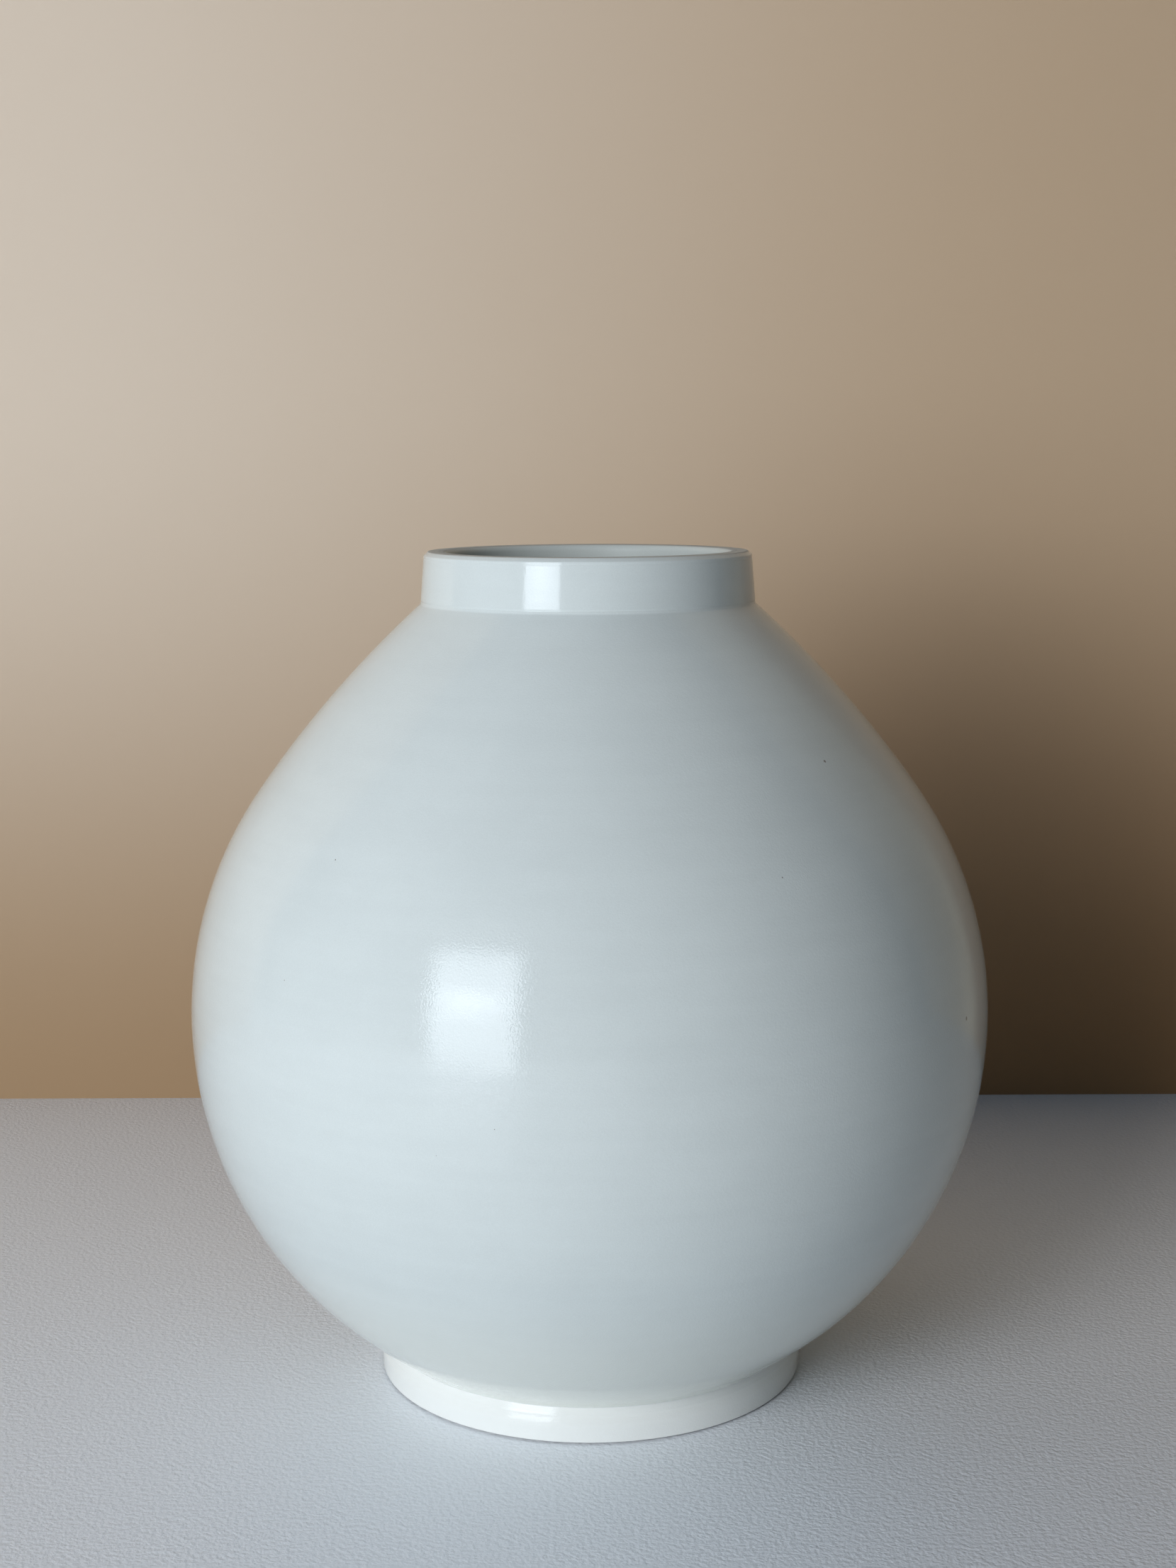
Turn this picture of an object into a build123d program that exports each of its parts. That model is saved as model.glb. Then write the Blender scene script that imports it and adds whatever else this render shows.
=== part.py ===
from build123d import *
import os
from math import copysign, cos, radians, sin, sqrt

# Moon jar: two thrown bowls luted rim to rim, a foot ring, a neck collar and the glaze over them.
# Millimetres, +Z up, with the origin on the table at the centre of the foot.

# Outer form, over the glaze
belly_diameter = 335.5        # at the widest line
lower_height = 157.4          # table to the widest line
upper_height = 171.0          # widest line to where the neck leaves the shoulder
upper_belly_radius = 163.2    # arc that rises from the widest line
upper_belly_angle = 34.8      # degrees of that arc, before the flatter shoulder takes over
neck_diameter = 139.2         # where the neck leaves the shoulder
neck_height = 21.6            # shoulder to the crest of the lip
neck_taper = 1.6              # how much the neck's radius shrinks towards the lip
lip_bevel_width = 1.9
lip_bevel_height = 1.6
lip_width = 8.1               # top of the lip, from its outer crest to the mouth
lip_inner_round = 2.0
foot_top_diameter = 178.0     # at the corner under the lower bowl
foot_height = 14.8            # table to that corner
foot_taper = 1.4              # how much the foot's radius grows from there to its upright band
foot_band_height = 7.2        # table to the top of that band
foot_chamfer = 0.8            # bare of glaze, as the pad under it is

# Thicknesses
glaze_thickness = 0.5
wall_thickness = 7.0
floor_thickness = 10.0
foot_ring_width = 13.0
spigot_wall = 4.0             # part of the collar that lines the opening of the upper bowl
slip_thickness = 0.8

# Joints, and curves between surfaces
tongue_width = 3.6            # ridge of the upper bowl's rim, in the groove of the lower bowl's
tongue_depth = 2.6
neck_fillet = 1.8             # glaze pooled in the corner under the neck
foot_pool_depth = 0.8         # glaze pooled between the belly's arc and the foot's corner
foot_pool_radius = 60.0       # hollow face of that pool
well_fillet = 2.0             # glaze pooled in the corner inside the foot ring
floor_curve = 40.0            # inside, from wall to floor


def point(radius, height):
    return Vector(radius, 0, height)


class Round:
    # A circle in the jar's section, whose arcs the walls follow. A negative radius is a hollow curve,
    # with its centre outside the jar.
    def __init__(self, center, radius):
        self.center = center
        self.radius = radius
        self.side = copysign(1, radius)

    def inset(self, depth):
        return Round(self.center, self.radius - depth)

    def toward(self, outward):
        return self.center + outward * self.radius

    def at_height(self, height):
        rise = height - self.center.Z
        return point(self.center.X + sqrt(self.radius**2 - rise**2), height)

    def below(self, radius):
        run = radius - self.center.X
        return point(radius, self.center.Z - sqrt(self.radius**2 - run**2))

    def above(self, radius):
        run = radius - self.center.X
        return point(radius, self.center.Z + self.side * sqrt(self.radius**2 - run**2))

    def meet(self, start, direction):
        # Where a straight line from the jar's side of this circle crosses it
        offset = start - self.center
        along = offset.dot(direction)
        reach = sqrt(along**2 - offset.dot(offset) + self.radius**2)
        return start + direction * (self.side * reach - along)

    def cross(self, other):
        # Where two circles cross, on the side away from the jar's axis
        apart = other.center - self.center
        along = (apart.dot(apart) + self.radius**2 - other.radius**2) / (2 * apart.length)
        heading = apart.normalized()
        return self.center + heading * along + outward_from(heading) * sqrt(self.radius**2 - along**2)

    def arc(self, start, end):
        middle = (start + end) * 0.5 - self.center
        return ThreePointArc(start, self.center + middle.normalized() * abs(self.radius), end)


def turned(start, *steps):
    # Each step is a point reached by a straight line, or a circle and the point that its arc ends on
    edges = []
    here = start
    for step in steps:
        if isinstance(step, tuple):
            circle, there = step
            edges.append(circle.arc(here, there))
        else:
            there = step
            edges.append(Line(here, there))
        here = there
    edges.append(Line(here, start))
    return revolve(make_face(edges), Axis.Z)


def outward_from(direction):
    # Unit normal of a straight wall, on the side away from the jar's axis
    normal = point(direction.Z, -direction.X)
    return normal * copysign(1, normal.X)


def pooled(start, direction, circle, size):
    # Hollow fillet between a straight wall and a round one: its end on each, and its circle
    outward = outward_from(direction)
    center = circle.inset(-size).meet(start + outward * size, direction)
    on_round = circle.toward((center - circle.center).normalized() * circle.side)
    return center - outward * size, on_round, Round(center, -size)


def inset_corner(before, corner, after):
    # Corner of an outline that runs upwards, moved in under the glaze from both its sides
    first = (corner - before).normalized()
    second = (after - corner).normalized()
    normals = point(first.Z + second.Z, -first.X - second.X)
    return corner - normals * (glaze_thickness / (1 + first.dot(second)))


# Outline of the glazed belly: one arc below the widest line, two above it
jar_height = lower_height + upper_height + neck_height
belly_radius = belly_diameter / 2
foot_corner = point(foot_top_diameter / 2, foot_height)
foot_radius = foot_corner.X + foot_taper
neck_radius = neck_diameter / 2
overhang = belly_radius - foot_corner.X
lower_rise = lower_height - foot_height - foot_pool_depth
lower_radius = (overhang**2 + lower_rise**2) / (2 * overhang)
lower = Round(point(belly_radius - lower_radius, lower_height), lower_radius)
upper = Round(point(belly_radius - upper_belly_radius, lower_height), upper_belly_radius)
lean = radians(upper_belly_angle)
shoulder_normal = point(cos(lean), sin(lean))
shoulder_start = upper.toward(shoulder_normal)
neck_start = point(neck_radius, lower_height + upper_height)
chord = neck_start - shoulder_start
shoulder_radius = -chord.dot(chord) / (2 * chord.dot(shoulder_normal))
shoulder = Round(shoulder_start - shoulder_normal * shoulder_radius, shoulder_radius)

# Depths under the outer glaze: the clay's two faces, and the inside glaze
clay = glaze_thickness
cavity = clay + wall_thickness
lining = cavity + glaze_thickness
bowl_face = lower.inset(clay)
bowl_inside = lower.inset(cavity)
shoulder_face = shoulder.inset(clay)
shoulder_inside = shoulder.inset(cavity)


def belly_edge(depth):
    return point(belly_radius - depth, lower_height)


def climb(depth, end):
    # From the widest line up to a point on the shoulder
    bend = upper.inset(depth)
    return (bend, bend.toward(shoulder_normal)), (shoulder.inset(depth), end)


def descend(depth):
    # From the shoulder down to the widest line
    bend = upper.inset(depth)
    return (shoulder.inset(depth), bend.toward(shoulder_normal)), (bend, belly_edge(depth))


# Foot ring, and the slip between it and the lower bowl
foot_start = point(foot_radius, foot_chamfer)
foot_bend = point(foot_radius, foot_band_height)
foot_lean = (foot_bend - foot_corner).normalized()
ring_outer = foot_radius - glaze_thickness
ring_inner = ring_outer - foot_ring_width
ring_bend = inset_corner(foot_start, foot_bend, foot_corner)
foot_seat = lower.inset(clay - slip_thickness)
seat_edge = foot_seat.meet(ring_bend, foot_lean)
bowl_edge = bowl_face.meet(ring_bend, foot_lean)
foot_ring = turned(
    point(ring_outer - foot_chamfer, 0),
    point(ring_outer, foot_chamfer),
    ring_bend,
    seat_edge,
    (foot_seat, foot_seat.below(ring_inner)),
    point(ring_inner, foot_chamfer),
    point(ring_inner + foot_chamfer, 0),
)
foot_slip_seam = turned(
    foot_seat.below(ring_inner),
    (foot_seat, seat_edge),
    bowl_edge,
    (bowl_face, bowl_face.below(ring_inner)),
)

# Rims of the two bowls: the groove's land lies one thickness of slip below the tongue's
groove_land = lower_height - slip_thickness
tongue_land = lower_height
wall_middle = belly_radius - clay - wall_thickness / 2


def rim(land):
    # Groove or tongue, from outside to inside
    return (
        point(wall_middle + tongue_width / 2, land),
        point(wall_middle, land - tongue_depth),
        point(wall_middle - tongue_width / 2, land),
    )


# Lower bowl, turned flat underneath inside the foot ring
base_height = bowl_face.below(ring_inner).Z
floor_height = base_height + floor_thickness
curve_center = lower.inset(cavity + floor_curve).at_height(floor_height + floor_curve)


def floor_bend(depth):
    # Curve between wall and floor: its end on the wall, its end on the floor, and its circle
    bend = Round(curve_center, floor_curve + cavity - depth)
    on_wall = lower.inset(depth).toward((curve_center - lower.center).normalized())
    return on_wall, curve_center - point(0, bend.radius), bend


clay_wall_end, clay_floor_end, clay_bend = floor_bend(cavity)
lower_bowl = turned(
    point(0, base_height),
    point(ring_inner, base_height),
    (bowl_face, bowl_face.at_height(groove_land)),
    *rim(groove_land),
    bowl_inside.at_height(groove_land),
    (bowl_inside, clay_wall_end),
    (clay_bend, clay_floor_end),
    point(0, floor_height),
)

# Slip in the joint at the widest line
belly_slip_seam = turned(
    bowl_face.at_height(groove_land),
    (bowl_face, belly_edge(clay)),
    *rim(tongue_land),
    belly_edge(cavity),
    (bowl_inside, bowl_inside.at_height(groove_land)),
    *reversed(rim(groove_land)),
)

# Lip and neck outline, over the glaze and over the clay
lip_edge = point(neck_radius - neck_taper, jar_height - lip_bevel_height)
crest = point(lip_edge.X - lip_bevel_width, jar_height)
lip_middle = point(crest.X - lip_width / 2, jar_height)
mouth_radius = crest.X - lip_width
clay_top = jar_height - glaze_thickness
clay_lip_edge = inset_corner(neck_start, lip_edge, crest)
clay_crest = inset_corner(lip_edge, crest, lip_middle)
neck_rise = (lip_edge - neck_start).normalized()
collar_side = neck_start - outward_from(neck_rise) * glaze_thickness
bore_radius = mouth_radius + glaze_thickness
spigot_radius = bore_radius + spigot_wall
opening_radius = spigot_radius + slip_thickness
round_center = point(bore_radius + lip_inner_round, clay_top - lip_inner_round)
clay_round = Round(round_center, lip_inner_round)
glaze_round = clay_round.inset(-glaze_thickness)

# Upper bowl, open at the top for the collar
upper_bowl = turned(
    belly_edge(clay),
    *climb(clay, shoulder_face.above(opening_radius)),
    shoulder_inside.above(opening_radius),
    *descend(cavity),
    *reversed(rim(tongue_land)),
)

# Neck collar: it sits on the shoulder, and its spigot lines the opening
collar_seat = shoulder.inset(clay - slip_thickness)
collar_foot = collar_seat.meet(collar_side, neck_rise)
seam_edge = shoulder_face.meet(collar_side, neck_rise)
neck_collar = turned(
    shoulder_inside.above(spigot_radius),
    (shoulder_inside, shoulder_inside.above(bore_radius)),
    point(bore_radius, round_center.Z),
    (clay_round, point(round_center.X, clay_top)),
    clay_crest,
    clay_lip_edge,
    collar_foot,
    (collar_seat, collar_seat.above(spigot_radius)),
)
neck_slip_seam = turned(
    collar_foot,
    (collar_seat, collar_seat.above(spigot_radius)),
    shoulder_inside.above(spigot_radius),
    (shoulder_inside, shoulder_inside.above(opening_radius)),
    shoulder_face.above(opening_radius),
    (shoulder_face, seam_edge),
)

# Outside coat of glaze, from the bare edge of the foot to the middle of the lip
foot_pool_center = lower.inset(-foot_pool_radius).cross(Round(foot_corner, foot_pool_radius))
foot_pool = Round(foot_pool_center, -foot_pool_radius)
foot_pool_end = lower.toward((foot_pool_center - lower.center).normalized())
neck_pool_end, neck_pool_start, neck_pool = pooled(neck_start, neck_rise, shoulder, neck_fillet)
outer_glaze = turned(
    foot_start,
    foot_bend,
    foot_corner,
    (foot_pool, foot_pool_end),
    (lower, belly_edge(0)),
    *climb(0, neck_pool_start),
    (neck_pool, neck_pool_end),
    lip_edge,
    crest,
    lip_middle,
    point(lip_middle.X, clay_top),
    clay_crest,
    clay_lip_edge,
    seam_edge,
    *descend(clay),
    (bowl_face, bowl_edge),
    ring_bend,
    point(ring_outer, foot_chamfer),
)

# Inside coat of glaze, from the floor to the middle of the lip
glaze_wall_end, glaze_floor_end, glaze_bend = floor_bend(lining)
inner_glaze = turned(
    point(0, floor_height),
    clay_floor_end,
    (clay_bend, clay_wall_end),
    (bowl_inside, belly_edge(cavity)),
    *climb(cavity, shoulder_inside.above(bore_radius)),
    point(bore_radius, round_center.Z),
    (clay_round, point(round_center.X, clay_top)),
    point(lip_middle.X, clay_top),
    lip_middle,
    point(round_center.X, jar_height),
    (glaze_round, point(mouth_radius, round_center.Z)),
    shoulder.inset(lining).above(mouth_radius),
    *descend(lining),
    (lower.inset(lining), glaze_wall_end),
    (glaze_bend, glaze_floor_end),
    point(0, floor_height + glaze_thickness),
)

# Coat of glaze in the hollow inside the foot ring
well_radius = ring_inner - glaze_thickness
well_height = base_height - glaze_thickness
well_pool = Round(point(well_radius - well_fillet, well_height - well_fillet), well_fillet)
foot_well_glaze = turned(
    point(0, base_height),
    point(ring_inner, base_height),
    point(ring_inner, foot_chamfer),
    point(well_radius, foot_chamfer),
    point(well_radius, well_pool.center.Z),
    (well_pool, point(well_pool.center.X, well_height)),
    point(0, well_height),
)

parts = {
    "foot_ring": foot_ring,
    "foot_slip_seam": foot_slip_seam,
    "lower_bowl": lower_bowl,
    "belly_slip_seam": belly_slip_seam,
    "upper_bowl": upper_bowl,
    "neck_slip_seam": neck_slip_seam,
    "neck_collar": neck_collar,
    "outer_glaze": outer_glaze,
    "inner_glaze": inner_glaze,
    "foot_well_glaze": foot_well_glaze,
}
os.makedirs("parts", exist_ok=True)
for name, solid in parts.items():
    export_step(solid, f"parts/{name}.step")
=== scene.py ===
import math
import bpy
from mathutils import Matrix, Vector


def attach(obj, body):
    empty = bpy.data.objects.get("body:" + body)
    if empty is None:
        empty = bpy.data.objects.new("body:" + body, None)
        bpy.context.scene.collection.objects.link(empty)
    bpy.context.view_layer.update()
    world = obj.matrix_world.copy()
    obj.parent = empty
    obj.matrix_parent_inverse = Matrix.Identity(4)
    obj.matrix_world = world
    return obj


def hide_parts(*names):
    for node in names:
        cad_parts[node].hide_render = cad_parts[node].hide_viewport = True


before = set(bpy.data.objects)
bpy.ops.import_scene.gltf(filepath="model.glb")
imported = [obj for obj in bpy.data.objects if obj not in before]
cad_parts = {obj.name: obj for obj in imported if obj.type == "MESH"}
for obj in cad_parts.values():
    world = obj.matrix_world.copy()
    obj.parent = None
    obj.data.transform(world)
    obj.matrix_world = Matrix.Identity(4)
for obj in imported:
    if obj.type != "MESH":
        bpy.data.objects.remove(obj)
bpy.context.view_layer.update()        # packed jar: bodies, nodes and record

mm = 0.001
print("moon jar: frame loaded,", len(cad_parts), "CAD nodes")

# Sizes of the thrown form in millimetres, the ones that the solids are turned from
form = dict(
    bellyDiameter=335.5, lowerHeight=157.4, upperHeight=171.0,
    upperBellyRadius=163.2, upperBellyAngle=34.8,
    neckDiameter=139.2, neckHeight=21.6, neckTaper=1.6,
    lipBevelWidth=1.9, lipBevelHeight=1.6, lipWidth=8.1, lipInnerRound=2.0,
    footTopDiameter=178.0, footHeight=14.8, footTaper=1.4, footBandHeight=7.2, bareHeight=0.8,
    glaze=0.5, wall=7.0, floor=10.0, footRingWidth=13.0,
    neckFillet=1.8, footPoolDepth=0.8, footPoolRadius=60.0, wellFillet=2.0, floorCurve=40.0,
)


# Section of the jar: x is the radius and y the height, in millimetres
def at(radius, height):
    return Vector((radius, height))


def outwardOf(direction):
    return at(direction.y, -direction.x)        # right-hand side of a line that climbs


def lineTo(start, end, step):
    count = max(1, math.ceil((end - start).length / step))
    return [start.lerp(end, i / count) for i in range(1, count + 1)]


def arcTo(center, start, end, step):
    first, last = start - center, end - center
    fromAngle = math.atan2(first.y, first.x)
    sweep = (math.atan2(last.y, last.x) - fromAngle + math.pi) % math.tau - math.pi
    count = max(2, math.ceil(abs(sweep) * first.length / step))
    angles = [fromAngle + sweep * i / count for i in range(1, count + 1)]
    return [center + at(math.cos(a), math.sin(a)) * first.length for a in angles]


def softCorner(before, corner, after, radius, step):
    # Arc that rounds a corner between two straight runs, with both its ends
    back, on = (before - corner).normalized(), (after - corner).normalized()
    half = back.angle(on) / 2
    run = radius / math.tan(half)
    start, end = corner + back * run, corner + on * run
    center = corner + (back + on).normalized() * (radius / math.sin(half))
    return [start] + arcTo(center, start, end, step)


def meetRound(start, direction, center, radius):
    # Where a straight line leaves a circle
    offset = start - center
    along = offset.dot(direction)
    return start + direction * (math.sqrt(along**2 - offset.dot(offset) + radius**2) - along)


def crossRounds(centerA, radiusA, centerB, radiusB):
    # Where two circles cross, on the side away from the axis
    apart = centerB - centerA
    along = (apart.dot(apart) + radiusA**2 - radiusB**2) / (2 * apart.length)
    heading = apart.normalized()
    outward = outwardOf(heading) if heading.y > 0 else -outwardOf(heading)
    return centerA + heading * along + outward * math.sqrt(radiusA**2 - along**2)


def cornerInset(before, corner, after, depth):
    first, second = (corner - before).normalized(), (after - corner).normalized()
    return corner - (outwardOf(first) + outwardOf(second)) * (depth / (1 + first.dot(second)))


# Arcs and corners of the glazed outside
jarHeight = form["lowerHeight"] + form["upperHeight"] + form["neckHeight"]
bellyRadius = form["bellyDiameter"] / 2
footCorner = at(form["footTopDiameter"] / 2, form["footHeight"])
footRadius = footCorner.x + form["footTaper"]
footBend = at(footRadius, form["footBandHeight"])
ringInner = footRadius - form["glaze"] - form["footRingWidth"]
overhang = bellyRadius - footCorner.x
lowerRise = form["lowerHeight"] - form["footHeight"] - form["footPoolDepth"]
lowerRadius = (overhang**2 + lowerRise**2) / (2 * overhang)
lowerCenter = at(bellyRadius - lowerRadius, form["lowerHeight"])
upperRadius = form["upperBellyRadius"]
upperCenter = at(bellyRadius - upperRadius, form["lowerHeight"])
lean = math.radians(form["upperBellyAngle"])
shoulderNormal = at(math.cos(lean), math.sin(lean))
neckStart = at(form["neckDiameter"] / 2, form["lowerHeight"] + form["upperHeight"])
chord = neckStart - (upperCenter + shoulderNormal * upperRadius)
shoulderRadius = -chord.dot(chord) / (2 * chord.dot(shoulderNormal))
shoulderCenter = upperCenter + shoulderNormal * (upperRadius - shoulderRadius)
lipEdge = at(neckStart.x - form["neckTaper"], jarHeight - form["lipBevelHeight"])
crest = at(lipEdge.x - form["lipBevelWidth"], jarHeight)
lipMiddle = at(crest.x - form["lipWidth"] / 2, jarHeight)
mouthRadius = crest.x - form["lipWidth"]
neckRise = (lipEdge - neckStart).normalized()
neckOut = outwardOf(neckRise)


# The same arcs at a depth under the glaze's face
def bellyEdge(depth):
    return at(bellyRadius - depth, form["lowerHeight"])


def shoulderStart(depth):
    return upperCenter + shoulderNormal * (upperRadius - depth)


def shoulderAbove(depth, radius):
    run = radius - shoulderCenter.x
    return at(radius, shoulderCenter.y + math.sqrt((shoulderRadius - depth)**2 - run**2))


def lowerBelow(depth, radius):
    run = radius - lowerCenter.x
    return at(radius, lowerCenter.y - math.sqrt((lowerRadius - depth)**2 - run**2))


# Turning a closed section into a mesh. The face that shows comes first, and gets most of the map's height
turning = dict(onAxis=1e-6, shownTop=0.97, mapGap=0.005)


def turnPiece(name, shown, hidden, segments, unevenness):
    section = shown + hidden
    onAxis = [here.x < turning["onAxis"] for here in section]
    reach = [0.0]        # along the face that shows
    for before, here in zip(shown, shown[1:]):
        reach.append(reach[-1] + (here - before).length)

    points, rings = [], []
    for i, here in enumerate(section):
        if onAxis[i]:
            points.append((0, 0, here.y * mm))
            rings.append([len(points) - 1] * segments)
            continue
        normal = at(0, 0)        # the ends of the face that shows stay in place
        if 0 < i < len(shown) - 1:
            normal = outwardOf((section[i + 1] - section[i - 1]).normalized())
        ring = []
        for j in range(segments):
            turn = math.tau * j / segments
            moved = here + normal * unevenness(here, reach[i], turn) if i < len(shown) else here
            points.append((-moved.x * mm * math.sin(turn), moved.x * mm * math.cos(turn), moved.y * mm))
            ring.append(len(points) - 1)
        rings.append(ring)

    rows = [turning["shownTop"] * r / reach[-1] for r in reach]
    hiddenLow = turning["shownTop"] + turning["mapGap"]
    hiddenRow = (1 - hiddenLow) / (len(hidden) + 1)
    rows += [hiddenLow + hiddenRow * (k + 1) for k in range(len(hidden))]
    faces, corners = [], []
    for i in range(len(section)):
        k = (i + 1) % len(section)
        if onAxis[i] and onAxis[k]:
            continue        # the axis itself
        low, high = rows[i], rows[k] if k else 1.0
        for j in range(segments):
            n = (j + 1) % segments
            left, right = j / segments, (j + 1) / segments
            quad = [rings[i][j], rings[i][n], rings[k][n], rings[k][j]]
            spots = [(left, low), (right, low), (right, high), (left, high)]
            keep = [c for c in range(4) if quad[c] != quad[c - 1]]
            faces.append([quad[c] for c in keep])
            corners += [spots[c] for c in keep]

    mesh = bpy.data.meshes.new(name)
    mesh.from_pydata(points, [], faces)
    layer = mesh.uv_layers.new(name="OFBake")
    layer.data.foreach_set("uv", [v for spot in corners for v in spot])
    mesh.polygons.foreach_set("use_smooth", [True] * len(faces))
    mesh.update()
    for ends in (set(rings[0]), set(rings[len(shown) - 1])):        # crisp where the shown face stops
        for line in mesh.edges:
            if ends.issuperset(line.vertices):
                line.use_edge_sharp = True
    piece = bpy.data.objects.new(name, mesh)
    bpy.context.scene.collection.objects.link(piece)
    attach(piece, "root")
    return piece


def ramp(value, start, end):
    share = min(1.0, max(0.0, (value - start) / (end - start)))
    return share * share * (3 - 2 * share)


def turnedLines(lines, along, turn):
    # Spiral lines left by fingers and tools, each with its pitch and its height
    return sum(rise * math.sin(math.tau * along / pitch + turn + pitch) for pitch, rise in lines)


# Outside glaze, from the bare edge of the foot to the middle of the lip, in millimetres
outside = dict(
    segments=256, beltStep=2.4, wallStep=0.9, edgeStep=0.15, hiddenStep=9.0,
    creaseStep=0.1, creaseRun=0.15, creaseShare=0.03,           # fine rings where foot and belly meet
    filletStep=0.2, neckEndRun=1.6,                             # and at both ends of the neck
    lipRound=0.7, crestRound=0.5, beadRound=0.24, bandRound=20.0,
    bellyLow=(22, 60), bellyHigh=(300, 326),                    # heights where the belly's lines fade
    neckLow=(331, 334), neckHigh=(344, 347),
    oval=0.09, ovalTurn=0.7, wobble=0.05, wobbleTurn=-1.1,      # out of round
    throwing=((7.5, 0.005), (11.5, 0.008), (31.0, 0.012)),      # pitch and height of the throwing lines
    neckLines=((5.2, 0.004), (8.0, 0.006)),
    grooves=((329.5, 0.12, 0.36), (347.3, 0.062, 0.33)),        # tooled on the neck: height, depth, width
    ridge=11.4, ridgeRise=0.05, ridgeWidth=0.5, ridgeWave=0.25, ridgeTurn=2.0,    # round the foot
    footLean=0.25, footLeanFrom=8.0,
)


def outsideUneven(here, along, turn):
    height = here.y
    onBelly = ramp(height, *outside["bellyLow"]) * (1 - ramp(height, *outside["bellyHigh"]))
    onNeck = ramp(height, *outside["neckLow"]) * (1 - ramp(height, *outside["neckHigh"]))
    oval = outside["oval"] * math.cos(2 * turn + outside["ovalTurn"])
    wobble = outside["wobble"] * math.cos(3 * turn + outside["wobbleTurn"])
    value = onBelly * (oval + wobble + turnedLines(outside["throwing"], along, turn))
    value += onNeck * turnedLines(outside["neckLines"], height, turn)
    for middle, depth, width in outside["grooves"]:
        value -= depth * math.exp(-((height - middle) / width)**2)
    if height < footCorner.y:
        ridge = outside["ridge"] + outside["ridgeWave"] * math.cos(turn + outside["ridgeTurn"])
        value += outside["ridgeRise"] * math.exp(-((height - ridge) / outside["ridgeWidth"])**2)
        climbed = max(0.0, (height - outside["footLeanFrom"]) / (footCorner.y - outside["footLeanFrom"]))
        value += outside["footLean"] * (1 - 2 * climbed)
    return value


def outsideSection():
    wall, belt, edge = outside["wallStep"], outside["beltStep"], outside["edgeStep"]
    thin, fillet, poolRadius = form["glaze"], form["neckFillet"], form["footPoolRadius"]
    footStart = at(footRadius, form["bareHeight"])
    inStart = at(footRadius - thin, form["bareHeight"])
    bead = softCorner(inStart, footStart, footBend, outside["beadRound"], edge / 2)
    bend = softCorner(footStart, footBend, footCorner, outside["bandRound"], wall / 2)
    crease = footCorner + (footBend - footCorner).normalized() * outside["creaseRun"]
    poolCenter = crossRounds(lowerCenter, lowerRadius + poolRadius, footCorner, poolRadius)
    poolEnd = lowerCenter + (poolCenter - lowerCenter).normalized() * lowerRadius
    poolFirst = footCorner.lerp(poolEnd, outside["creaseShare"])
    filletWay = neckStart + neckOut * fillet
    neckCenter = meetRound(filletWay, neckRise, shoulderCenter, shoulderRadius + fillet)
    neckPool = shoulderCenter + (neckCenter - shoulderCenter).normalized() * shoulderRadius
    neckEnd = neckRise * outside["neckEndRun"]
    lipOut = softCorner(neckStart, lipEdge, crest, outside["lipRound"], edge)
    lipTop = softCorner(lipEdge, crest, lipMiddle, outside["crestRound"], edge)
    shown = list(bead)
    shown += lineTo(bead[-1], bend[0], wall) + bend[1:]
    shown += lineTo(bend[-1], crease, wall / 3) + [footCorner]
    shown += arcTo(poolCenter, footCorner, poolFirst, outside["creaseStep"])
    shown += arcTo(poolCenter, shown[-1], poolEnd, wall)
    shown += arcTo(lowerCenter, poolEnd, bellyEdge(0), belt)
    shown += arcTo(upperCenter, bellyEdge(0), shoulderStart(0), belt)
    shown += arcTo(shoulderCenter, shoulderStart(0), neckPool, belt)
    shown += arcTo(neckCenter, neckPool, neckCenter - neckOut * fillet, outside["filletStep"])
    shown += lineTo(shown[-1], shown[-1] + neckEnd, edge)
    shown += lineTo(shown[-1], lipOut[0] - neckEnd, wall)
    shown += lineTo(shown[-1], lipOut[0], edge) + lipOut[1:]
    shown += lineTo(lipOut[-1], lipTop[0], edge * 2) + lipTop[1:]
    shown += lineTo(lipTop[-1], lipMiddle, wall)
    # Face against the clay, from the lip down
    ringBend = cornerInset(footStart, footBend, footCorner, thin)
    bowlEdge = meetRound(ringBend, (footBend - footCorner).normalized(), lowerCenter, lowerRadius - thin)
    seamEdge = meetRound(neckStart - neckOut * thin, neckRise, shoulderCenter, shoulderRadius - thin)
    hidden = [at(lipMiddle.x, jarHeight - thin), cornerInset(lipEdge, crest, lipMiddle, thin)]
    hidden += [cornerInset(neckStart, lipEdge, crest, thin), seamEdge]
    hidden += arcTo(shoulderCenter, seamEdge, shoulderStart(thin), outside["hiddenStep"])
    hidden += arcTo(upperCenter, hidden[-1], bellyEdge(thin), outside["hiddenStep"])
    hidden += arcTo(lowerCenter, hidden[-1], bowlEdge, outside["hiddenStep"])
    return shown, hidden + [ringBend, inStart]


outsideGlaze = turnPiece("outside_glaze", *outsideSection(), outside["segments"], outsideUneven)
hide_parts("outer_glaze")
print("outside glaze turned:", len(outsideGlaze.data.polygons), "faces")

# Inside glaze, from the middle of the lip to the floor, in millimetres
inside = dict(
    segments=224, step=2.2, edgeStep=0.3, hiddenStep=5.0, hiddenLipStep=1.0, mouthRound=4.0,
    calmNeck=(318, 330), calmMiddle=(4, 20),                # heights and radii where the lines fade
    throwing=((8.5, 0.10), (13.0, 0.08)),                   # finger lines, not turned away inside
    seamRise=0.28, seamWidth=7.0, seamWave=0.8,             # slip squeezed out where the two bowls meet
)


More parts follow.
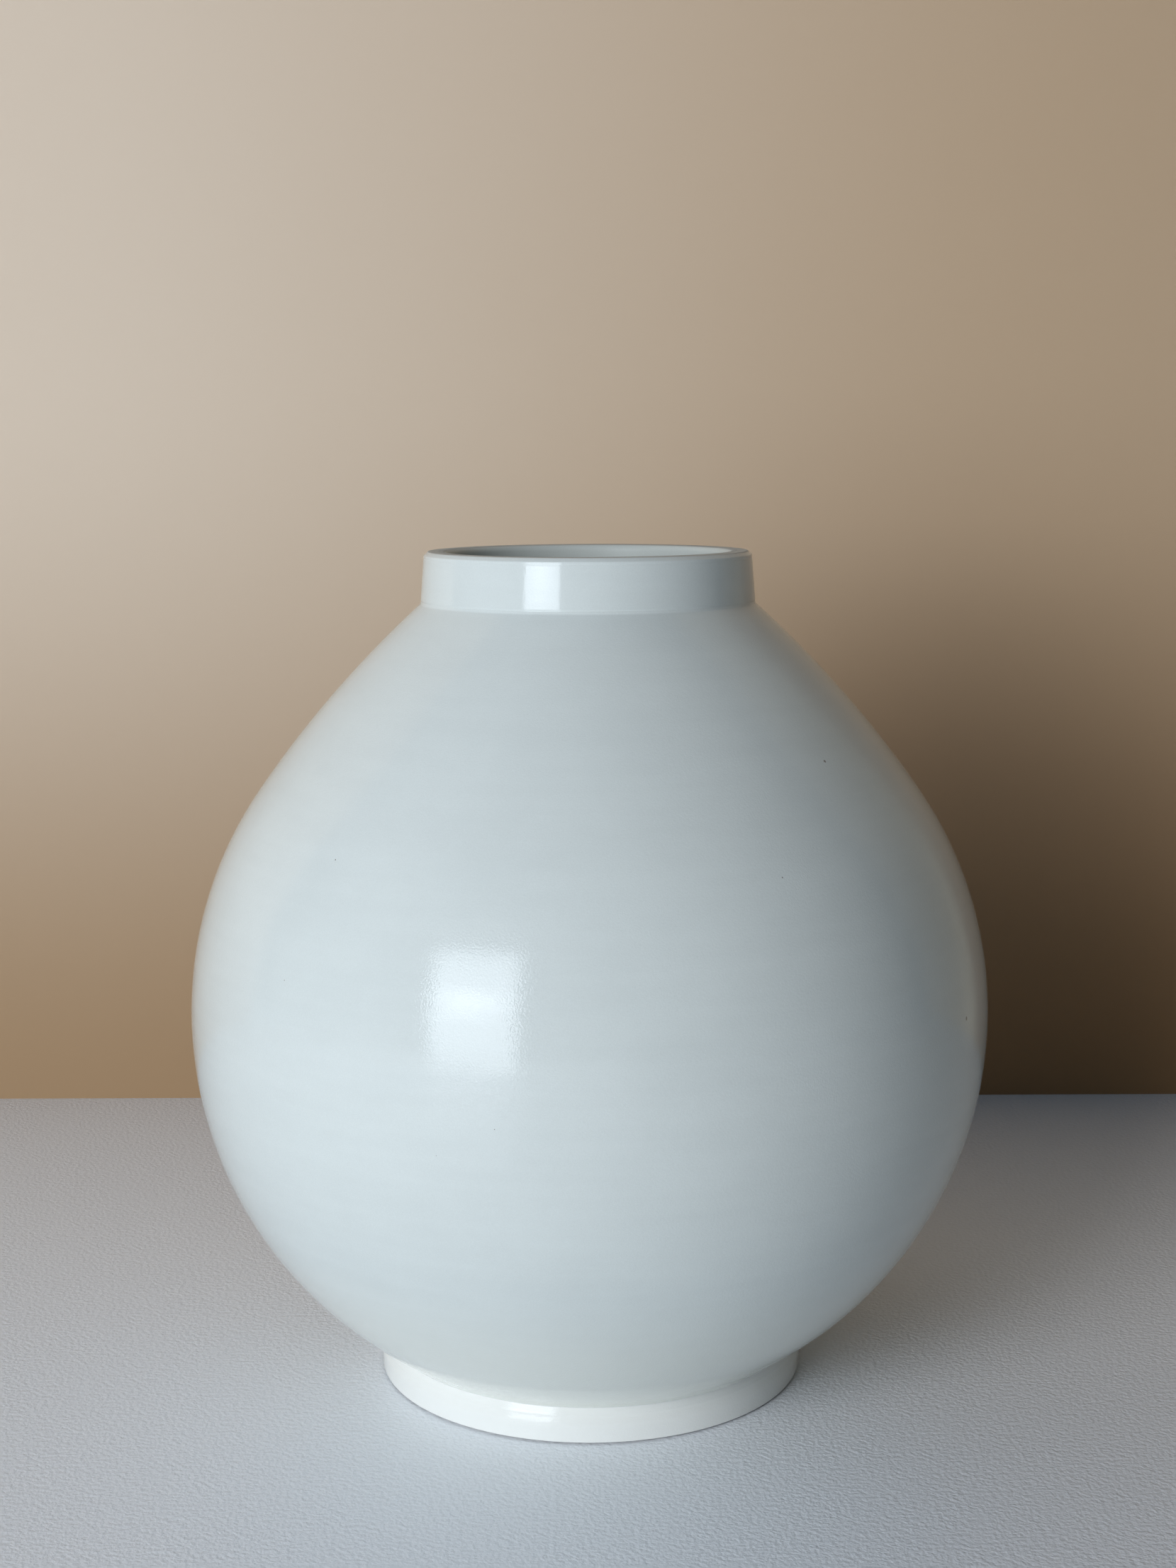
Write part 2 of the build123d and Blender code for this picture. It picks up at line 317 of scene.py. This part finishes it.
def insideUneven(here, along, turn):
    calm = (1 - ramp(here.y, *inside["calmNeck"])) * ramp(here.x, *inside["calmMiddle"])
    value = 0.0
    for pitch, rise in inside["throwing"]:
        value += rise * (0.5 + 0.5 * math.sin(math.tau * along / pitch - turn + pitch))
    seam = form["lowerHeight"] + inside["seamWave"] * math.cos(2 * turn + 1)
    off = (here.y - seam) / inside["seamWidth"]
    return calm * (value + inside["seamRise"] * math.exp(-off**2))


def insideSection():
    step, edge, far = inside["step"], inside["edgeStep"], inside["hiddenStep"]
    thin, curve, lipRound = form["glaze"], form["floorCurve"], form["lipInnerRound"]
    cavity = thin + form["wall"]
    lining = cavity + thin
    floorHeight = lowerBelow(thin, ringInner).y + form["floor"]
    rise = floorHeight + curve - lowerCenter.y
    curveRun = math.sqrt((lowerRadius - cavity - curve)**2 - rise**2)
    curveCenter = at(lowerCenter.x + curveRun, floorHeight + curve)
    wallWay = (curveCenter - lowerCenter).normalized()
    bore = mouthRadius + thin
    roundCenter = at(bore + lipRound, jarHeight - thin - lipRound)
    mouthTop = at(mouthRadius, roundCenter.y)
    mouthFoot = shoulderAbove(lining, mouthRadius)
    underMouth = mouthFoot + outwardOf(mouthFoot - shoulderCenter)
    mouth = softCorner(underMouth, mouthFoot, mouthTop, inside["mouthRound"], edge)
    mouthJoin = shoulderAbove(lining, mouth[0].x)
    shown = [at(0, floorHeight + thin)]
    shown += lineTo(shown[0], at(curveCenter.x, floorHeight + thin), step)
    shown += arcTo(curveCenter, shown[-1], lowerCenter + wallWay * (lowerRadius - lining), step)
    shown += arcTo(lowerCenter, shown[-1], bellyEdge(lining), step)
    shown += arcTo(upperCenter, shown[-1], shoulderStart(lining), step)
    shown += arcTo(shoulderCenter, shown[-1], mouthJoin, step)[:-1] + mouth
    shown += lineTo(shown[-1], mouthTop, step / 2)
    shown += arcTo(roundCenter, shown[-1], at(roundCenter.x, jarHeight), edge)
    shown += lineTo(shown[-1], lipMiddle, step / 3)
    # Face against the clay, from the lip down
    hidden = [at(lipMiddle.x, jarHeight - thin), at(roundCenter.x, jarHeight - thin)]
    hidden += arcTo(roundCenter, hidden[-1], at(bore, roundCenter.y), inside["hiddenLipStep"])
    hidden += [shoulderAbove(cavity, bore)]
    hidden += arcTo(shoulderCenter, hidden[-1], shoulderStart(cavity), far)
    hidden += arcTo(upperCenter, hidden[-1], bellyEdge(cavity), far)
    hidden += arcTo(lowerCenter, hidden[-1], lowerCenter + wallWay * (lowerRadius - cavity), far)
    hidden += arcTo(curveCenter, hidden[-1], at(curveCenter.x, floorHeight), far)
    return list(reversed(shown)), list(reversed(hidden + [at(0, floorHeight)]))


insideGlaze = turnPiece("inside_glaze", *insideSection(), inside["segments"], insideUneven)
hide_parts("inner_glaze")
print("inside glaze turned:", len(insideGlaze.data.polygons), "faces")

# Glaze in the hollow under the floor, in millimetres
well = dict(
    segments=192, step=1.6, edgeStep=0.3, edgeRound=0.22,
    calmMiddle=(2, 12), calmEdge=(68, 73),                  # radii where the lines fade
    lines=((4.6, 0.05), (7.3, 0.05)),                       # pitch and height of the turning lines
)


def wellUneven(here, along, turn):
    calm = ramp(here.x, *well["calmMiddle"]) * (1 - ramp(here.x, *well["calmEdge"]))
    return calm * sum(rise * math.sin(math.tau * here.x / pitch + turn) for pitch, rise in well["lines"])


def wellSection():
    step, edge, thin, fillet = well["step"], well["edgeStep"], form["glaze"], form["wellFillet"]
    base = lowerBelow(thin, ringInner).y
    radius, top = ringInner - thin, base - thin
    center = at(radius - fillet, top - fillet)
    foot = at(ringInner, form["bareHeight"])
    bead = softCorner(at(radius, top), at(radius, foot.y), foot, well["edgeRound"], edge / 3)
    shown = [at(0, top)]
    shown += lineTo(shown[0], at(center.x, top), step)
    shown += arcTo(center, shown[-1], at(radius, center.y), edge)
    shown += lineTo(shown[-1], bead[0], step / 2) + bead[1:]
    return shown, [foot, at(ringInner, base), at(0, base)]


wellGlaze = turnPiece("well_glaze", *wellSection(), well["segments"], wellUneven)
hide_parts("foot_well_glaze")
print("well glaze turned:", len(wellGlaze.data.polygons), "faces")


# Nodes: one call makes a node, sets what it is given and wires its inputs
def addNode(tree, kind, inputs=None, **settings):
    node = tree.nodes.new(kind)
    for name, value in settings.items():
        setattr(node, name, value)
    for name, value in (inputs or {}).items():
        if isinstance(value, bpy.types.NodeSocket):
            tree.links.new(value, node.inputs[name])
        else:
            node.inputs[name].default_value = value
    return node


def mathOf(tree, operation, first, second=0.0):
    return addNode(tree, "ShaderNodeMath", {0: first, 1: second}, operation=operation).outputs[0]


def weighed(tree, first, *others):
    # Sum of values, each times its share
    total = mathOf(tree, "MULTIPLY", *first)
    for value, share in others:
        total = mathOf(tree, "ADD", total, mathOf(tree, "MULTIPLY", value, share))
    return total


def blendOf(tree, share, first, second, way="MIX"):
    inputs = {0: share, 6: first, 7: second}
    return addNode(tree, "ShaderNodeMix", inputs, data_type="RGBA", blend_type=way).outputs[2]


def fadeOf(tree, value, start, end):
    inputs = {"Value": value, "From Min": start, "From Max": end}
    return addNode(tree, "ShaderNodeMapRange", inputs, interpolation_type="SMOOTHSTEP").outputs[0]


def noiseOf(tree, place, scale, detail, roughness=0.5):
    inputs = {"Vector": place, "Scale": scale, "Detail": detail, "Roughness": roughness}
    return addNode(tree, "ShaderNodeTexNoise", inputs).outputs["Fac"]


def axesOf(tree, place):
    return addNode(tree, "ShaderNodeSeparateXYZ", {"Vector": place}).outputs


def bumpOf(tree, height, strength, distance):
    inputs = {"Height": height, "Strength": strength, "Distance": distance}
    return addNode(tree, "ShaderNodeBump", inputs).outputs[0]


socketKinds = dict(place="NodeSocketVector", value="NodeSocketFloat", color="NodeSocketColor")


def newGroup(name, inputs, outputs):
    tree = bpy.data.node_groups.new(name, "ShaderNodeTree")
    for way, sockets in (("INPUT", inputs), ("OUTPUT", outputs)):
        for label, kind in sockets.items():
            tree.interface.new_socket(name=label, in_out=way, socket_type=socketKinds[kind])
    return tree, addNode(tree, "NodeGroupInput").outputs, addNode(tree, "NodeGroupOutput").inputs


def useGroup(tree, group, inputs):
    return addNode(tree, "ShaderNodeGroup", inputs, node_tree=group).outputs


# Fine ripple of a fired glaze, with a slower swell under it
rippleShape = dict(roughness=0.45, swellShare=0.9)


def makeRipple():
    tree, given, put = newGroup(
        "glazeRipple", dict(Place="place", Ripple="value", Swell="value"), dict(Height="value"))
    fine = noiseOf(tree, given["Place"], given["Ripple"], detail=1.0, roughness=rippleShape["roughness"])
    slow = noiseOf(tree, given["Place"], given["Swell"], detail=1.0)
    lifted = mathOf(tree, "MULTIPLY", slow, rippleShape["swellShare"])
    tree.links.new(mathOf(tree, "ADD", fine, lifted), put["Height"])
    return tree


# Soft clouds where the coat is thicker or thinner, level bands and a fine grain
cloudShape = dict(
    broad=26.0, broadShare=0.35, bands=(14.0, 14.0, 170.0), bandShare=0.25, grain=2000.0, grainShare=0.4,
    fade=(0.3, 0.7),
)


def makeCloud():
    tree, given, put = newGroup(
        "glazeCloud", dict(Place="place", Thin="color", Thick="color"), dict(Color="color"))
    flat = addNode(
        tree, "ShaderNodeVectorMath", {0: given["Place"], 1: cloudShape["bands"]}, operation="MULTIPLY")
    broad = noiseOf(tree, given["Place"], cloudShape["broad"], detail=3.0, roughness=0.6)
    bands = noiseOf(tree, flat.outputs[0], scale=1.0, detail=2.0)
    grain = noiseOf(tree, given["Place"], cloudShape["grain"], detail=1.0)
    mixed = weighed(
        tree, (broad, cloudShape["broadShare"]), (bands, cloudShape["bandShare"]),
        (grain, cloudShape["grainShare"]))
    thickness = fadeOf(tree, mixed, *cloudShape["fade"])
    tree.links.new(blendOf(tree, thickness, given["Thin"], given["Thick"]), put["Color"])
    return tree


# Iron specks from the clay, few and small
speckShape = dict(smallest=0.3)        # share of the size, added to a share drawn for each speck


def makeSpecks():
    tree, given, put = newGroup(
        "ironSpecks", dict(Place="place", Spread="value", Size="value", Few="value"), dict(Mask="value"))
    cells = addNode(tree, "ShaderNodeTexVoronoi", {"Vector": given["Place"], "Scale": given["Spread"]})
    draw = addNode(tree, "ShaderNodeSeparateColor", {"Color": cells.outputs["Color"]}).outputs
    chosen = mathOf(tree, "GREATER_THAN", draw[0], given["Few"])
    share = mathOf(tree, "ADD", draw[1], speckShape["smallest"])
    size = mathOf(tree, "MULTIPLY", given["Size"], share)
    dot = mathOf(tree, "LESS_THAN", cells.outputs["Distance"], size)
    tree.links.new(mathOf(tree, "MULTIPLY", chosen, dot), put["Mask"])
    return tree


# Grain of fired clay
clayShape = dict(sandShare=0.6, patch=60.0, patchShare=0.4, fade=(0.3, 0.7), rough=0.72, roughSpread=0.2)


def makeClay():
    tree, given, put = newGroup(
        "clayGrain", dict(Place="place", Grain="value", Pale="color", Dark="color"),
        dict(Color="color", Roughness="value", Height="value"))
    sand = noiseOf(tree, given["Place"], given["Grain"], detail=4.0, roughness=0.65)
    patch = noiseOf(tree, given["Place"], clayShape["patch"], detail=3.0)
    tone = weighed(tree, (sand, clayShape["sandShare"]), (patch, clayShape["patchShare"]))
    tone = fadeOf(tree, tone, *clayShape["fade"])
    rough = mathOf(tree, "MULTIPLY", sand, clayShape["roughSpread"])
    tree.links.new(blendOf(tree, tone, given["Pale"], given["Dark"]), put["Color"])
    tree.links.new(mathOf(tree, "ADD", rough, clayShape["rough"]), put["Roughness"])
    tree.links.new(sand, put["Height"])
    return tree


rippleGroup, cloudGroup, speckGroup, clayGroup = makeRipple(), makeCloud(), makeSpecks(), makeClay()
print("shared node groups made")


def newMaterial(name):
    material = bpy.data.materials.new(name)
    material.use_nodes = True
    tree = material.node_tree
    tree.nodes.clear()
    shader = addNode(tree, "ShaderNodeBsdfPrincipled")
    addNode(tree, "ShaderNodeOutputMaterial", {"Surface": shader.outputs[0]})
    place = addNode(tree, "ShaderNodeTexCoord").outputs["Object"]
    return material, tree, shader, place


def specksOf(tree, place, look):
    return useGroup(tree, speckGroup, {
        "Place": place, "Spread": look["speckSpread"], "Size": look["speckSize"], "Few": look["speckFew"],
    })["Mask"]


# What every coat of glaze does near the top: calmer on the neck, thin and matt on the lip
glazeTop = dict(calm=(322.0, 330.0), matt=(jarHeight - 0.5, jarHeight - 0.1), mattRough=0.5)


def glazeLook(name, look):
    material, tree, shader, place = newMaterial(name)
    height = axesOf(tree, place)["Z"]
    thickness = useGroup(tree, cloudGroup, {"Place": place, "Thin": look["thin"], "Thick": look["thick"]})
    color = thickness["Color"]
    for full, gone, tint, share in look["belts"]:
        belt = mathOf(tree, "MULTIPLY", fadeOf(tree, height, gone * mm, full * mm), share)
        color = blendOf(tree, belt, color, tint)
    speck = specksOf(tree, place, look)
    for x, y, z, size in look["specksAt"]:
        middle = (x * mm, y * mm, z * mm)
        away = addNode(tree, "ShaderNodeVectorMath", {0: place, 1: middle}, operation="DISTANCE")
        dot = mathOf(tree, "LESS_THAN", away.outputs["Value"], size * mm)
        speck = mathOf(tree, "MAXIMUM", speck, dot)
    color = blendOf(tree, mathOf(tree, "MULTIPLY", speck, look["speckShare"]), color, look["speckColor"])
    waves = useGroup(tree, rippleGroup, {"Place": place, "Ripple": look["ripple"], "Swell": look["swell"]})
    ripple = waves["Height"]
    onNeck = fadeOf(tree, height, *[z * mm for z in glazeTop["calm"]])
    strength = mathOf(tree, "SUBTRACT", 1.0, mathOf(tree, "MULTIPLY", onNeck, look["neckCalm"]))
    onLip = fadeOf(tree, height, *[z * mm for z in glazeTop["matt"]])
    rough = mathOf(tree, "ADD", mathOf(tree, "MULTIPLY", ripple, look["roughSpread"]), look["roughness"])
    rough = mathOf(tree, "ADD", rough, mathOf(tree, "MULTIPLY", onLip, glazeTop["mattRough"]))
    tree.links.new(color, shader.inputs["Base Color"])
    tree.links.new(rough, shader.inputs["Roughness"])
    tree.links.new(bumpOf(tree, ripple, strength, look["rippleRise"] * mm), shader.inputs["Normal"])
    shader.inputs["IOR"].default_value = look["ior"]
    return material


# Pale blue-white glaze: lighter and yellower down the lower belly, partly as painted light from the table
# below, whiter on the foot, yellow-green where it pools above it, grey on the lip where it thins, darker
# still there as painted shade on the lip's top.
# A belt is the height where it is full, the height where it has gone, its tint and its share.
# Heights, places, radii and rises are in millimetres
# grey of the thin glaze on the lip, with painted shade darkening the lip's top
lipGreyAndShadeBelt = (349.9, 349.5, (0.500, 0.520, 0.500, 1), 0.9)
outsideLook = dict(
    thin=(0.728, 0.805, 0.804, 1), thick=(0.682, 0.756, 0.756, 1),
    belts=(
        # lower belly: yellower glaze, and lighter as painted light from the table below
        (28.0, 90.0, (0.830, 0.875, 0.825, 1), 1.0),
        (15.5, 28.0, (0.900, 0.940, 0.870, 1), 0.95),
        (14.7, 14.9, (0.885, 0.925, 0.908, 1), 1.0),        # the foot
        lipGreyAndShadeBelt,
    ),
    speckSpread=40.0, speckSize=0.03, speckFew=0.86, speckShare=0.75, speckColor=(0.16, 0.14, 0.12, 1),
    specksAt=(                                              # place and radius of single specks
        (90.4, -81.9, 272.8, 0.6), (-94.3, -110.1, 240.4, 0.35), (-113.4, -116.9, 196.2, 0.35),
        (-55.0, -157.5, 141.7, 0.3), (-33.8, -164.1, 153.4, 0.3), (70.3, -129.2, 236.8, 0.3),
    ),
    ripple=1400.0, swell=90.0, rippleRise=0.04, neckCalm=0.5, roughness=0.04, roughSpread=0.02, ior=1.5,
)
# The inside coat is darker than the outside: painted shade inside the jar
insideShadedLook = dict(
    thin=(0.660, 0.730, 0.718, 1), thick=(0.620, 0.690, 0.678, 1), belts=(lipGreyAndShadeBelt,),
    speckSpread=40.0, speckSize=0.03, speckFew=0.8, speckShare=0.75, speckColor=(0.16, 0.14, 0.12, 1),
    specksAt=(),
    ripple=1200.0, swell=70.0, rippleRise=0.03, neckCalm=0.0, roughness=0.36, roughSpread=0.04, ior=1.5,
)
wellLook = dict(
    thin=(0.740, 0.805, 0.795, 1), thick=(0.700, 0.780, 0.770, 1), belts=(),
    speckSpread=70.0, speckSize=0.05, speckFew=0.75, speckShare=0.75, speckColor=(0.2, 0.16, 0.12, 1),
    specksAt=(),
    ripple=700.0, swell=80.0, rippleRise=0.03, neckCalm=0.0, roughness=0.08, roughSpread=0.04, ior=1.5,
)
outsideGlaze.data.materials.append(glazeLook("glaze outside", outsideLook))
insideGlaze.data.materials.append(glazeLook("glaze inside with painted shade", insideShadedLook))
wellGlaze.data.materials.append(glazeLook("glaze in the well", wellLook))

# Bare clay of the thrown pieces, and the slip between them
bareLook = dict(
    grain=1400.0, rise=0.12, bump=0.6, pale=(0.76, 0.735, 0.69, 1), dark=(0.66, 0.635, 0.59, 1),
    speckSpread=260.0, speckSize=0.09, speckFew=0.82, speckShare=0.6, speckColor=(0.30, 0.20, 0.12, 1),
    nodes=("foot_ring", "lower_bowl", "upper_bowl", "neck_collar"),
)
slipLook = dict(
    grain=2200.0, rise=0.06, bump=0.6, pale=(0.70, 0.67, 0.61, 1), dark=(0.62, 0.59, 0.53, 1),
    speckSpread=260.0, speckSize=0.09, speckFew=0.95, speckShare=0.6, speckColor=(0.34, 0.26, 0.18, 1),
    nodes=("foot_slip_seam", "belly_slip_seam", "neck_slip_seam"),
)


def clayLook(name, look):
    material, tree, shader, place = newMaterial(name)
    grain = useGroup(tree, clayGroup, {
        "Place": place, "Grain": look["grain"], "Pale": look["pale"], "Dark": look["dark"],
    })
    speck = mathOf(tree, "MULTIPLY", specksOf(tree, place, look), look["speckShare"])
    color = blendOf(tree, speck, grain["Color"], look["speckColor"])
    tree.links.new(color, shader.inputs["Base Color"])
    tree.links.new(grain["Roughness"], shader.inputs["Roughness"])
    bump = bumpOf(tree, grain["Height"], look["bump"], look["rise"] * mm)
    tree.links.new(bump, shader.inputs["Normal"])
    for node in look["nodes"]:
        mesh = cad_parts[node].data
        mesh.materials.clear()
        mesh.materials.append(material)


clayLook("bare clay", bareLook)
clayLook("slip", slipLook)
print("glaze, clay and slip looks set")


# Plain set: a pale table, and a warm wall behind it, with painted shadow and painted light on the wall. Both
# are seen from one side only
def stageSheet(name, corners):
    mesh = bpy.data.meshes.new(name)
    mesh.from_pydata(corners, [], [(0, 1, 2, 3)])
    sheet = bpy.data.objects.new(name, mesh)
    bpy.context.scene.collection.objects.link(sheet)
    return sheet


def oneSided(tree, shader):
    finish = shader.outputs[0].links[0].to_node
    behind = addNode(tree, "ShaderNodeNewGeometry").outputs["Backfacing"]
    clear = addNode(tree, "ShaderNodeBsdfTransparent")
    both = addNode(tree, "ShaderNodeMixShader", {0: behind, 1: shader.outputs[0], 2: clear.outputs[0]})
    tree.links.new(both.outputs[0], finish.inputs["Surface"])


tableLook = dict(
    half=12.0, drop=-0.2 * mm,                              # in metres, just under the foot
    color=(0.87, 0.92, 0.985, 1), shade=0.985, shadeFade=(0.35, 0.65), rough=0.4,
    grain=480.0, bump=0.8, rise=0.6,                        # the rise of its grain in millimetres
)


def makeTable():
    half, drop = tableLook["half"], tableLook["drop"]
    corners = [(-half, -half, drop), (half, -half, drop), (half, half, drop), (-half, half, drop)]
    table = stageSheet("table", corners)
    material, tree, shader, place = newMaterial("painted table")
    grain = noiseOf(tree, place, tableLook["grain"], detail=2.0)
    darker = [c * tableLook["shade"] for c in tableLook["color"]]
    color = blendOf(tree, fadeOf(tree, grain, *tableLook["shadeFade"]), tableLook["color"], darker)
    bump = bumpOf(tree, grain, tableLook["bump"], tableLook["rise"] * mm)
    tree.links.new(color, shader.inputs["Base Color"])
    tree.links.new(bump, shader.inputs["Normal"])
    shader.inputs["Roughness"].default_value = tableLook["rough"]
    oneSided(tree, shader)
    table.data.materials.append(material)


# Places are in metres. A fade is where it starts and where it is full
wallLook = dict(
    away=0.385, half=1.7, height=1.9, rough=0.7,
    # right is darker and browner: painted shadow of the jar on the wall
    left=(0.78, 0.675, 0.55, 1), right=(0.66, 0.50, 0.335, 1), acrossFade=(-0.3, 0.4),
    cloud=3.0, cloudShare=0.1,
    foot=(0.54, 0.42, 0.29, 1), footShadeFade=(0.45, 0.0),       # painted shade, darker towards the table
    end=(0.86, 0.74, 0.54, 1), endLightFade=(0.46, 0.6),         # painted light, paler to the right out of the picture, where the jar's right rim reflects the wall
)


def makeWall():
    away, half, low, high = wallLook["away"], wallLook["half"], tableLook["drop"], wallLook["height"]
    corners = [(-half, away, low), (half, away, low), (half, away, high), (-half, away, high)]
    wall = stageSheet("wall", corners)
    material, tree, shader, place = newMaterial("wall with painted shade and light")
    axes = axesOf(tree, place)
    patches = noiseOf(tree, place, wallLook["cloud"], detail=3.0)
    cloud = mathOf(tree, "MULTIPLY", patches, wallLook["cloudShare"])
    across = fadeOf(tree, mathOf(tree, "ADD", axes["X"], cloud), *wallLook["acrossFade"])
    # darker and browner to the right: painted shadow of the jar
    color = blendOf(tree, across, wallLook["left"], wallLook["right"])
    # painted shade, darker towards the table
    color = blendOf(tree, fadeOf(tree, axes["Z"], *wallLook["footShadeFade"]), color, wallLook["foot"], "MULTIPLY")
    # painted light further right, beyond the painted shadow
    color = blendOf(tree, fadeOf(tree, axes["X"], *wallLook["endLightFade"]), color, wallLook["end"])
    tree.links.new(color, shader.inputs["Base Color"])
    shader.inputs["Roughness"].default_value = wallLook["rough"]
    oneSided(tree, shader)
    wall.data.materials.append(material)


makeTable()
makeWall()
print("table and wall set")

# Window light from the left front, in metres, degrees and watts.
# The fill is further off the same way, larger, and doesn't show in the glaze
light = dict(
    place=(-0.916, -1.497, 0.505), facing=-15.1, tilt=12.9, wide=0.783, tall=0.993,
    windowWatts=13.2, windowColor=(0.83, 0.92, 1.0),
    shares=((0.0, 0.6), (0.12, 0.85), (0.40, 1.0), (0.72, 1.0), (1.0, 0.7)),    # from sill to head
    curveTop=2.0,                                                               # share at the curve's top
    glare=0.8, glareAt=(0.5, 0.55), glareSpread=(0.34, 0.075),                  # brightest patch of the pane
    fillWatts=54.0, fillColor=(1.0, 0.905, 0.86), fillAway=(-1.12, -1.45, 0.85), fillSize=2.1,
)


def windowLamp(name, watts, color, offset, larger, inGlaze):
    lamp = bpy.data.lights.new(name, "AREA")
    lamp.shape = "RECTANGLE"
    lamp.size, lamp.size_y = light["wide"] * larger, light["tall"] * larger
    lamp.energy, lamp.color = watts, color
    lampObject = bpy.data.objects.new(name, lamp)
    turn, tilt = math.radians(light["facing"]), math.radians(light["tilt"])
    toward = Vector((-math.sin(turn) * math.cos(tilt), math.cos(turn) * math.cos(tilt), -math.sin(tilt)))
    lampObject.location = Vector(light["place"]) + Vector(offset)
    lampObject.rotation_euler = toward.to_track_quat("-Z", "Y").to_euler()
    lampObject.visible_camera = False
    lampObject.visible_glossy = inGlaze
    bpy.context.scene.collection.objects.link(lampObject)
    return lamp


def paneGlow(lamp):
    lamp.use_nodes = True
    tree = lamp.node_tree
    tree.nodes.clear()
    pane = axesOf(tree, addNode(tree, "ShaderNodeNewGeometry").outputs["Parametric"])
    curve = addNode(tree, "ShaderNodeFloatCurve", {"Value": pane["Y"]})
    dots = curve.mapping.curves[0].points
    while len(dots) < len(light["shares"]):
        dots.new(0.5, 0.5)
    for dot, (along, share) in zip(dots, light["shares"]):
        dot.location = (along, share / light["curveTop"])
    curve.mapping.update()
    squares = []
    for axis, middle, spread in zip("XY", light["glareAt"], light["glareSpread"]):
        off = mathOf(tree, "DIVIDE", mathOf(tree, "SUBTRACT", pane[axis], middle), spread)
        squares.append(mathOf(tree, "POWER", mathOf(tree, "ABSOLUTE", off), 2.0))
    away = mathOf(tree, "ADD", *squares)
    glare = mathOf(tree, "POWER", math.e, mathOf(tree, "MULTIPLY", away, -1.0))
    strength = weighed(tree, (curve.outputs[0], light["curveTop"]), (glare, light["glare"]))
    glow = addNode(tree, "ShaderNodeEmission", {"Strength": strength})
    addNode(tree, "ShaderNodeOutputLight", {"Surface": glow.outputs[0]})


windowLamp("window_fill", light["fillWatts"], light["fillColor"], light["fillAway"], light["fillSize"], False)
paneGlow(windowLamp("window_light", light["windowWatts"], light["windowColor"], (0, 0, 0), 1.0, True))

# Dim room, brightest high up on the left
room = dict(bright=(0.18, 0.23, 0.29, 1), dark=(0.02, 0.019, 0.016, 1), turn=-70.0, rise=62.0, focus=7.0)


def roomGlow():
    world = bpy.data.worlds.new("room")
    bpy.context.scene.world = world
    world.use_nodes = True
    tree = world.node_tree
    tree.nodes.clear()
    way = addNode(tree, "ShaderNodeTexCoord").outputs["Generated"]
    turn, rise = math.radians(room["turn"]), math.radians(room["rise"])
    brightWay = (math.sin(turn) * math.cos(rise), -math.cos(turn) * math.cos(rise), math.sin(rise))
    facing = addNode(tree, "ShaderNodeVectorMath", {0: way, 1: brightWay}, operation="DOT_PRODUCT")
    near = mathOf(tree, "MULTIPLY", mathOf(tree, "ADD", facing.outputs["Value"], 1.0), 0.5)
    color = blendOf(tree, mathOf(tree, "POWER", near, room["focus"]), room["dark"], room["bright"])
    glow = addNode(tree, "ShaderNodeBackground", {"Color": color, "Strength": 1.0})
    addNode(tree, "ShaderNodeOutputWorld", {"Surface": glow.outputs[0]})


roomGlow()
print("light set")

# Camera where the photograph was taken from, in metres, degrees and millimetres of lens
view = dict(
    place=(-0.0003, -0.9061, 0.3890), tilt=81.40, roll=-0.232, lens=49.915, sensor=36.0, clip=(0.01, 100.0),
)
camera = bpy.data.cameras.new("camera")
camera.lens = view["lens"]
camera.sensor_width = view["sensor"]
camera.clip_start, camera.clip_end = view["clip"]
cameraObject = bpy.data.objects.new("camera", camera)
bpy.context.scene.collection.objects.link(cameraObject)
tilted = Matrix.Rotation(math.radians(view["tilt"]), 4, "X")
rolled = Matrix.Rotation(math.radians(view["roll"]), 4, "Z")
cameraObject.matrix_world = Matrix.Translation(view["place"]) @ tilted @ rolled
bpy.context.scene.camera = cameraObject
bpy.context.scene.view_settings.view_transform = "Standard"
